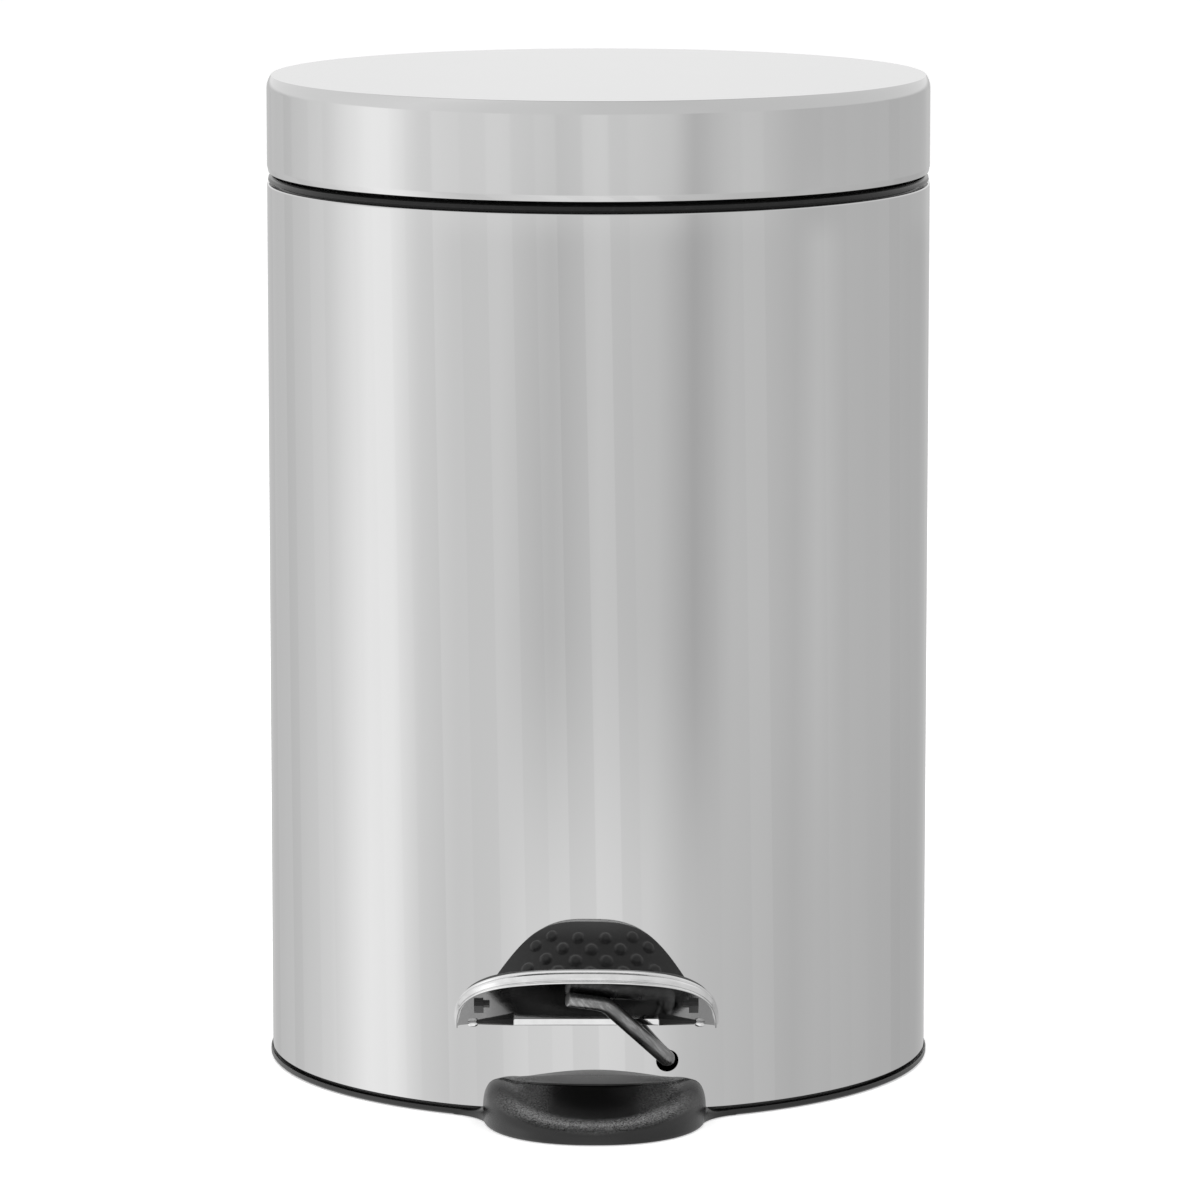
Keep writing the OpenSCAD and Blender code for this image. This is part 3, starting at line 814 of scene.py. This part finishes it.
def saddle_shape(x):
    """A bearing block that the lever's cross piece lies in."""
    w, front, rear, top = 3.0, -80.8, -67.0, PIVOT_Z
    r = WIRE_R + 0.05
    section = [(front, 1.0), (rear, 1.0), (rear, top), (PIVOT_Y + r, top)]
    for k in range(1, 12):
        angle = -math.pi * k / 12
        section.append((PIVOT_Y + r * math.cos(angle), top + r * math.sin(angle)))
    section += [(PIVOT_Y - r, top), (front, top)]
    verts = [(x - w, y, z) for y, z in section] + [(x + w, y, z) for y, z in section]
    n = len(section)
    faces = [tuple(range(n)), tuple(reversed(range(n, 2 * n)))]
    faces += [(k, (k + 1) % n, n + (k + 1) % n, n + k) for k in range(n)]
    return verts, faces


def make_base():
    sides = [flare_shape(-1), flare_shape(1), saddle_shape(-SADDLE_X), saddle_shape(SADDLE_X)]
    shape = joined(base_shape(), foot_shape(), *sides)
    return piece("base_moulding", shape, FOOT, "housing", ["base"], angle=42)


# ---------------------------------------------------------------- pedal


def pedal_edge(t):
    """A point of the pedal's outline and its outward direction, t from 0 to 1 round the front."""

    def at(u):
        angle = math.pi * u
        c, s = math.cos(angle), math.sin(angle)
        power = 2 / PEDAL_ROUND
        x = PEDAL_HALF_W * math.copysign(abs(c) ** power, c)
        y = -(PEDAL_LEN + PEDAL_WING) * abs(s) ** power + PEDAL_WING
        return Vector((x, y))

    here = at(t)
    ahead = at(min(t + 1e-4, 1.0)) - at(max(t - 1e-4, 0.0))
    out = Vector((-ahead.y, ahead.x)).normalized()
    if out.dot(here - Vector((0, PEDAL_WING - 10))) < 0:
        out = -out
    return here, out


def edge_steps(count):
    """Places round the outline, denser towards the wing tips."""
    return [0.5 - 0.5 * math.cos(math.pi * i / count) for i in range(count + 1)]


def bead(out, up, radius, first, last, steps=8):
    """Part of a round bead of the rim: corners on a circle, from the first to the last angle in degrees."""
    corners = []
    for k in range(steps + 1):
        angle = math.radians(first + (last - first) * k / steps)
        corners.append((out + radius * math.cos(angle), up + radius * math.sin(angle), 0))
    return corners


# The rim's section: a bead, a shoulder below it, the band, a groove and a thin hem
RIM_SECTION = rounded([
    (-1.5, -0.25, 0), *bead(-0.66, -0.06, 0.42, 150, -48), (-0.44, -0.44, 0.05), (-0.30, -0.52, 0.08),
    (0.0, -1.0, 0.35), (-0.05, -1.45, 0.6), (-0.22, -1.95, 0.8), (-0.46, -2.42, 0.12), (-0.78, -2.56, 0.06),
    (-0.80, -2.70, 0.06), *bead(-0.74, -3.0, 0.30, 62, -120), (-1.25, -2.9, 0.12), (-1.4, -2.5, 0.2),
    (-1.5, -UNDER, 0),
], steps=4, closed=False)
INNER_OUT = -0.95


def plate_shape():
    """The chrome plate with its beaded, turned-down rim."""
    steps = edge_steps(120)
    count = len(RIM_SECTION)
    verts, faces = [], []
    for t in steps:
        p, out = pedal_edge(t)
        shallow = 1 - 0.24 * blend_step(abs(p.x), 12, PEDAL_HALF_W)
        thin = blend_step(abs(t - 0.5), 0.44, 0.5)
        for o, z in RIM_SECTION:
            if o < INNER_OUT and z < -UNDER:
                o += (INNER_OUT - o) * thin
            if z < 0 and z != -UNDER:
                z *= shallow
            verts.append(pedal_point(p.x + out.x * o, p.y + out.y * o, z))
    for i in range(len(steps) - 1):
        a, b = i * count, (i + 1) * count
        for j in range(count - 1):
            faces.append((a + j, a + j + 1, b + j + 1, b + j))
    last = (len(steps) - 1) * count
    corners = []
    for x in (-REAR_HALF, REAR_HALF):
        corners.append((len(verts), len(verts) + 1))
        verts.append(pedal_point(x, -0.2, -0.1))
        verts.append(pedal_point(x, -0.2, -UNDER))
    top = [i * count for i in range(len(steps))] + [corners[0][0], corners[1][0]]
    under = [i * count + count - 1 for i in range(len(steps))] + [corners[0][1], corners[1][1]]
    faces += [tuple(top), tuple(reversed(under))]
    faces += [(last, last + count - 1, corners[0][1], corners[0][0])]
    faces += [(corners[0][0], corners[0][1], corners[1][1], corners[1][0])]
    faces += [(corners[1][0], corners[1][1], count - 1, 0)]
    faces += [tuple(range(count)), tuple(last + j for j in reversed(range(count)))]
    return verts, faces


def pedal_box(low, high):
    """A closed box in the pedal's frame."""
    verts, faces = box_shape(low, high)
    return [pedal_point(*v) for v in verts], faces


def flange_shape():
    """The plate's rear edge, turned down so that it hangs upright."""
    verts = []
    for x in (-REAR_HALF + 0.1, REAR_HALF - 0.1):
        _, y, z = pedal_point(x, -0.4, -UNDER + 0.3)
        for dy, dz in ((0.0, 0.0), (-0.7, 0.0), (-0.72, -1.35), (-0.55, -1.6), (-0.1, -1.6), (0.0, -1.35)):
            verts.append((PEDAL[0] + x, y + dy, z + dz))
    faces = [(0, 1, 2, 3, 4, 5), (11, 10, 9, 8, 7, 6)]
    faces += [(k, (k + 1) % 6, 6 + (k + 1) % 6, 6 + k) for k in range(6)]
    return verts, faces


def make_plate():
    flange = flange_shape()
    curls = []
    for side in (-1, 1):
        start = pedal_point(side * 26.9, 1.7, -2.0)
        end = pedal_point(side * 29.6, 2.2, -2.0)
        curls.append(tube([start, Vector(start).lerp(Vector(end), 0.5), end], 0.8, 24, 0.75))
    shape = joined(plate_shape(), flange, *curls)
    made = piece("pedal_plate_rimmed", shape, CHROME, "pedal", ["pedal_plate"], angle=50)
    flat_normals(made)
    return made


def dot_centres():
    """Places of the pad's dots, in a staggered grid."""
    found = []
    for row in range(6):
        for i in range(-3, 4):
            x = (i + ((row + 1) % 2) / 2) * DOT_PITCH + 0.4
            s = DOT_FRONT - row * DOT_ROW
            inside = (abs(x) / 28.5) ** PEDAL_ROUND + ((s + PEDAL_WING) / 35) ** PEDAL_ROUND < 1
            if s > 3 and inside:
                found.append((x, -s))
    return found


def pad_height(x, y, gap, dots):
    """Height of the pad's top at a place that lies gap inside its edge."""
    round_r = 0.7
    z = PAD_T - 1.15 * max(1 - (y + PEDAL_LEN) / 10.0, 0.0) ** 2
    if gap < round_r:
        z -= round_r - math.sqrt(max(round_r**2 - (round_r - gap) ** 2, 0.0))
    for dx, dy in dots:
        near = math.hypot(x - dx, y - dy)
        if near < DOT_R:
            part = near / DOT_R
            z += DOT_H * (1 - part**5) ** 0.5
    return z


def pad_shape():
    """The rubber pad with its low round dots."""
    dots = dot_centres()
    columns, rows = 230, 130
    half = PEDAL_HALF_W - PAD_INSET
    depth = PEDAL_LEN + PEDAL_WING - 2 * PAD_INSET
    verts, faces = [], []
    per = rows + 3
    for i in range(columns + 1):
        u = math.cos(math.pi * i / columns)
        x = half * math.copysign(abs(u) ** 0.9, u)
        wide = min(abs(x) / half, 0.99999)
        front = PEDAL_WING - PAD_INSET - depth * (1 - wide**PEDAL_ROUND) ** (1 / PEDAL_ROUND)
        back = -PAD_INSET * 0.6
        if abs(x) > REAR_HALF:
            back += (abs(x) - REAR_HALF) / (half - REAR_HALF) * (PEDAL_WING - PAD_INSET * 0.4)
        front = min(front, back - 0.05)
        verts.append(pedal_point(x, back, 0.02))
        for j in range(rows + 1):
            y = back + (front - back) * (0.5 - 0.5 * math.cos(math.pi * j / rows)) ** 0.95
            side_gap = (1 - (wide**PEDAL_ROUND + 1e-9) ** (1 / PEDAL_ROUND)) * half
            gap = min(y - front, back - y, max(side_gap * 1.2, 0.0))
            verts.append(pedal_point(x, y, pad_height(x, y, max(gap, 0.0), dots)))
        verts.append(pedal_point(x, front, 0.02))
    for i in range(columns):
        a, b = i * per, (i + 1) * per
        for j in range(per):
            k = (j + 1) % per
            faces.append((a + j, a + k, b + k, b + j))
    faces.append(tuple(range(per)))
    faces.append(tuple(columns * per + j for j in reversed(range(per))))
    return verts, faces


def tab_shapes():
    """The T-shaped ends of the pad's two tabs, which show under the plate."""
    shapes = []
    for side in (-1, 1):
        x, s = side * TAB_X, TAB_S
        shapes.append(pedal_box((x - 1.15, -s - 4.0, -UNDER - 1.05), (x + 1.15, -s + 1.7, 0.3)))
        near, far = sorted((x - side * 1.0, x - side * 2.7))
        shapes.append(pedal_box((near, -s - 3.4, -UNDER - 0.7), (far, -s - 1.6, -PLATE_T + 0.1)))
    return shapes


def lip_shapes():
    """The pad's two lips, which hang behind the wings and taper to their tips."""
    shapes = []
    for side in (-1, 1):
        inner, outer = side * (REAR_HALF + 0.1), side * 27.6
        section = [(inner, -0.3, -1.5), (outer, 2.2, -1.5), (outer, 2.2, -2.1), (inner, -0.3, -3.2)]
        verts = [pedal_point(x, y, z) for x, y, z in section]
        verts += [pedal_point(x, y - 1.0, z) for x, y, z in section]
        faces = [(0, 1, 2, 3), (7, 6, 5, 4), (0, 4, 5, 1), (1, 5, 6, 2), (2, 6, 7, 3), (3, 7, 4, 0)]
        shapes.append((verts, faces))
    return shapes


def make_pad():
    shape = joined(pad_shape(), *tab_shapes(), *lip_shapes())
    return piece("pedal_pad_dotted", shape, RUBBER, "pedal", ["pedal_pad"], angle=50)


# ---------------------------------------------------------------- lever


def make_lever():
    """The bent wire: under the plate, down to the hole, across in its bearings, and back to its hook."""
    corners = [
        pedal_point(-4.6, -21.9, -PLATE_T - WIRE_R),
        pedal_point(4.6, -18.4, -PLATE_T - WIRE_R - 0.2),
        (HOLE_X - 0.1, -87.6, 16.6),
        (HOLE_X, PIVOT_Y, PIVOT_Z),
        (-HOLE_X, PIVOT_Y, PIVOT_Z),
        (HOOK_X, LIFT_Y, HOOK_Z),
        (HOOK_END_X, LIFT_Y, HOOK_Z),
    ]
    bends = [7.0, 3.2, 2.2, 2.2, 2.2]
    path = [corners[0]]
    for i, bend in enumerate(bends, start=1):
        path += arc_corner(corners[i - 1], corners[i], corners[i + 1], bend, 10)
    path.append(corners[-1])
    shape = tube(path, WIRE_R, 32, 0.3)
    return piece("lever_wire", shape, WIRE, "pedal", ["pedal_lever"], angle=50)


# ---------------------------------------------------------------- CAD nodes that stay


def finish_node(name, material, bevel=0.0):
    """Gives a CAD node its material and, where a bevel width is given, softened edges."""
    made = nodes[name]
    made.data.materials.clear()
    made.data.materials.append(material)
    if bevel:
        modifier = made.modifiers.new("soft_edges", "BEVEL")
        modifier.width = bevel * MM
        modifier.segments = 2
        modifier.limit_method = "ANGLE"
        modifier.angle_limit = math.radians(50)


def finish_nodes():
    finish_node("hinge_bracket", MOULDED, 0.5)
    finish_node("rod_guide", MOULDED, 0.4)
    finish_node("lever_clip", MOULDED, 0.3)
    finish_node("lever_bearing_caps", MOULDED, 0.4)
    finish_node("lid_liner", BUCKET)
    finish_node("inner_bucket", BUCKET)
    finish_node("bail_grip", MOULDED)
    finish_node("lid_hinge_arm", ZINC, 0.25)
    for name in ("hinge_pin", "hinge_backing_plate", "bracket_screws", "bearing_screws", "guide_rivet",
                 "lid_screws", "lift_rod", "lift_pin", "bucket_bail"):
        finish_node(name, ZINC)


# ---------------------------------------------------------------- studio

# Levels of the soft light round the object: (degrees from the front, towards +X; level)
LIGHT_RING = [
    (-180, 0.60), (-150, 0.66), (-122, 0.84), (-108, 0.92), (-87, 1.24), (-76, 1.22), (-64, 0.98),
    (-50, 0.87), (-34, 0.87), (-16, 0.71), (0, 0.84), (20, 0.78), (33, 0.59), (47, 0.76), (60, 0.75),
    (72, 0.70), (82, 0.79), (95, 0.69), (125, 0.66), (150, 0.56), (180, 0.60),
]
# The same for the white table close by, which the lower part of the body mirrors
TABLE_RING = [
    (-180, 0.60), (-150, 0.66), (-122, 0.86), (-108, 0.94), (-87, 1.27), (-76, 1.22), (-64, 0.98),
    (-50, 0.87), (-36, 0.90), (-24, 0.99), (0, 1.02), (18, 0.96), (30, 0.80), (44, 0.76), (60, 0.72),
    (72, 0.68), (82, 0.72), (95, 0.69), (125, 0.62), (150, 0.54), (180, 0.60),
]
# The same for the brighter middle that the lid mirrors
LID_RING = [
    (-180, 0.60), (-150, 0.66), (-122, 0.84), (-108, 0.92), (-87, 1.24), (-76, 1.22), (-64, 1.0),
    (-50, 0.95), (-34, 0.94), (-16, 0.86), (0, 0.92), (14, 0.90), (25, 0.85), (33, 0.68), (47, 0.80),
    (60, 0.78), (72, 0.70), (90, 0.68), (125, 0.66), (150, 0.60), (180, 0.62),
]
# The same above the horizon: even walls, a little brighter at the back
WALL_RING = [
    (-180, 0.92), (-110, 0.94), (-70, 1.0), (-40, 0.90), (0, 0.82), (40, 0.78), (80, 0.80), (180, 0.92),
]
CEILING = 0.10
CEILING_MIDDLE = (0.0, 0.242, 0.970)
PANELS = 40.0
PANEL_SLANT = 5.0
PANEL_CHANGE = 0.045


def ring_of_light(tree, turn, levels):
    """A colour, half as strong as the levels, that changes with the direction round the object."""
    ring = tree.nodes.new("ShaderNodeValToRGB")
    stops = ring.color_ramp.elements
    while len(stops) > 1:
        stops.remove(stops[-1])
    for i, (degrees, level) in enumerate(levels):
        stop = stops[0] if i == 0 else stops.new(degrees / 360 + 0.5)
        stop.position = degrees / 360 + 0.5
        stop.color = (level / 2, level / 2, level / 2, 1)
    tree.links.new(turn, ring.inputs["Fac"])
    return ring.outputs["Color"]


def blend(tree, fac, low, high):
    """A colour that goes from low to high with fac."""
    made = tree.nodes.new("ShaderNodeMix")
    made.data_type = "RGBA"
    tree.links.new(fac, made.inputs["Factor"])
    for socket, value in ((made.inputs["A"], low), (made.inputs["B"], high)):
        if isinstance(value, float):
            socket.default_value = (value, value, value, 1)
        else:
            tree.links.new(value, socket)
    return made.outputs["Result"]


def panel_steps(tree, turn, height):
    """A factor close to 1 that changes in small steps round the object, like the edges of light panels."""
    place = maths(tree, "MULTIPLY_ADD", turn, PANELS, maths(tree, "MULTIPLY", height, PANEL_SLANT))
    cells = tree.nodes.new("ShaderNodeTexVoronoi")
    cells.voronoi_dimensions = "1D"
    cells.inputs["Scale"].default_value = 1.0
    tree.links.new(place, cells.inputs["W"])
    split = tree.nodes.new("ShaderNodeSeparateColor")
    tree.links.new(cells.outputs["Color"], split.inputs["Color"])
    factor = tree.nodes.new("ShaderNodeMapRange")
    factor.inputs["To Min"].default_value = 1 - PANEL_CHANGE
    factor.inputs["To Max"].default_value = 1 + PANEL_CHANGE
    tree.links.new(split.outputs[0], factor.inputs["Value"])
    return factor.outputs[0]


def step_between(tree, value, low, high):
    """A soft step from 0 to 1 as value goes from low to high."""
    step = tree.nodes.new("ShaderNodeMapRange")
    step.interpolation_type = "SMOOTHSTEP"
    step.inputs["From Min"].default_value = low
    step.inputs["From Max"].default_value = high
    tree.links.new(value, step.inputs["Value"])
    return step.outputs[0]


def make_world():
    """A soft studio: light panels in a ring round the object, an even ceiling, a white backdrop."""
    world = bpy.data.worlds.new("studio")
    scene.world = world
    world.use_nodes = True
    tree = world.node_tree
    background = tree.nodes["Background"]
    direction = tree.nodes.new("ShaderNodeTexCoord").outputs["Generated"]
    x, y, z = split_axes(tree, direction)
    azimuth = maths(tree, "ARCTAN2", x, maths(tree, "MULTIPLY", y, -1.0))
    circle = tree.nodes.new("ShaderNodeMapRange")
    circle.inputs["From Min"].default_value = -math.pi
    circle.inputs["From Max"].default_value = math.pi
    tree.links.new(azimuth, circle.inputs["Value"])
    turn = circle.outputs[0]
    middle = tree.nodes.new("ShaderNodeVectorMath")
    middle.operation = "DOT_PRODUCT"
    middle.inputs[1].default_value = CEILING_MIDDLE
    tree.links.new(direction, middle.inputs[0])
    table, far, walls, upper = (
        ring_of_light(tree, turn, levels) for levels in (TABLE_RING, LIGHT_RING, WALL_RING, LID_RING)
    )
    lower = blend(tree, step_between(tree, z, -0.205, -0.155), table, far)
    lower = blend(tree, step_between(tree, z, -0.105, -0.099), lower, upper)
    stepped = tree.nodes.new("ShaderNodeVectorMath")
    stepped.operation = "SCALE"
    tree.links.new(lower, stepped.inputs[0])
    tree.links.new(panel_steps(tree, turn, z), stepped.inputs["Scale"])
    around = blend(tree, step_between(tree, z, -0.03, 0.05), stepped.outputs[0], walls)
    overhead = step_between(tree, middle.outputs["Value"], 0.788, 0.839)
    whole = blend(tree, overhead, around, CEILING / 2)
    ray = tree.nodes.new("ShaderNodeLightPath").outputs["Is Camera Ray"]
    tree.links.new(blend(tree, ray, whole, 0.6), background.inputs["Color"])
    background.inputs["Strength"].default_value = 2.0


def make_floor():
    mesh = bpy.data.meshes.new("floor")
    size = 8.0
    corners = [(-size, -size, 0), (size, -size, 0), (size, size, 0), (-size, size, 0)]
    mesh.from_pydata(corners, [], [(0, 1, 2, 3)])
    floor = bpy.data.objects.new("floor", mesh)
    scene.collection.objects.link(floor)
    floor.location.z = -0.0002
    m = Nodes("floor_white")
    m.set(Base_Color=(0.9, 0.9, 0.9, 1), Roughness=0.9, Specular_IOR_Level=0.0)
    m.set(Emission_Color=(1, 1, 1, 1), Emission_Strength=0.45)
    mesh.materials.append(m.material)
    floor.visible_glossy = False


def area_light(name, place, aim, size, power):
    data = bpy.data.lights.new(name, "AREA")
    data.shape = "RECTANGLE"
    data.size, data.size_y = size
    data.energy = power
    lamp = bpy.data.objects.new(name, data)
    scene.collection.objects.link(lamp)
    lamp.location = place
    lamp.rotation_mode = "QUATERNION"
    lamp.rotation_quaternion = (Vector(aim) - Vector(place)).to_track_quat("-Z", "Y")
    lamp.visible_camera = False
    lamp.visible_glossy = False
    return lamp


def make_camera():
    """The photograph's viewpoint: a long lens a little above the lid, tilted down."""
    data = bpy.data.cameras.new("camera")
    data.sensor_width = 36.0
    data.lens = 211.76
    data.clip_start, data.clip_end = 0.1, 50.0
    camera = bpy.data.objects.new("camera", data)
    scene.collection.objects.link(camera)
    camera.location = (0.0004, -1.8073, 0.4011)
    camera.rotation_euler = (math.pi / 2 - 0.1551, 0, 0)
    scene.camera = camera


make_camera()
make_world()
make_floor()
area_light("overhead", (0.0, -0.3, 1.5), (0, 0, 0), (1.6, 1.4), 16.0)
scene.view_settings.view_transform = "Standard"

make_body()
make_lid()
make_collar()
make_base()
make_plate()
make_pad()
make_lever()
finish_nodes()
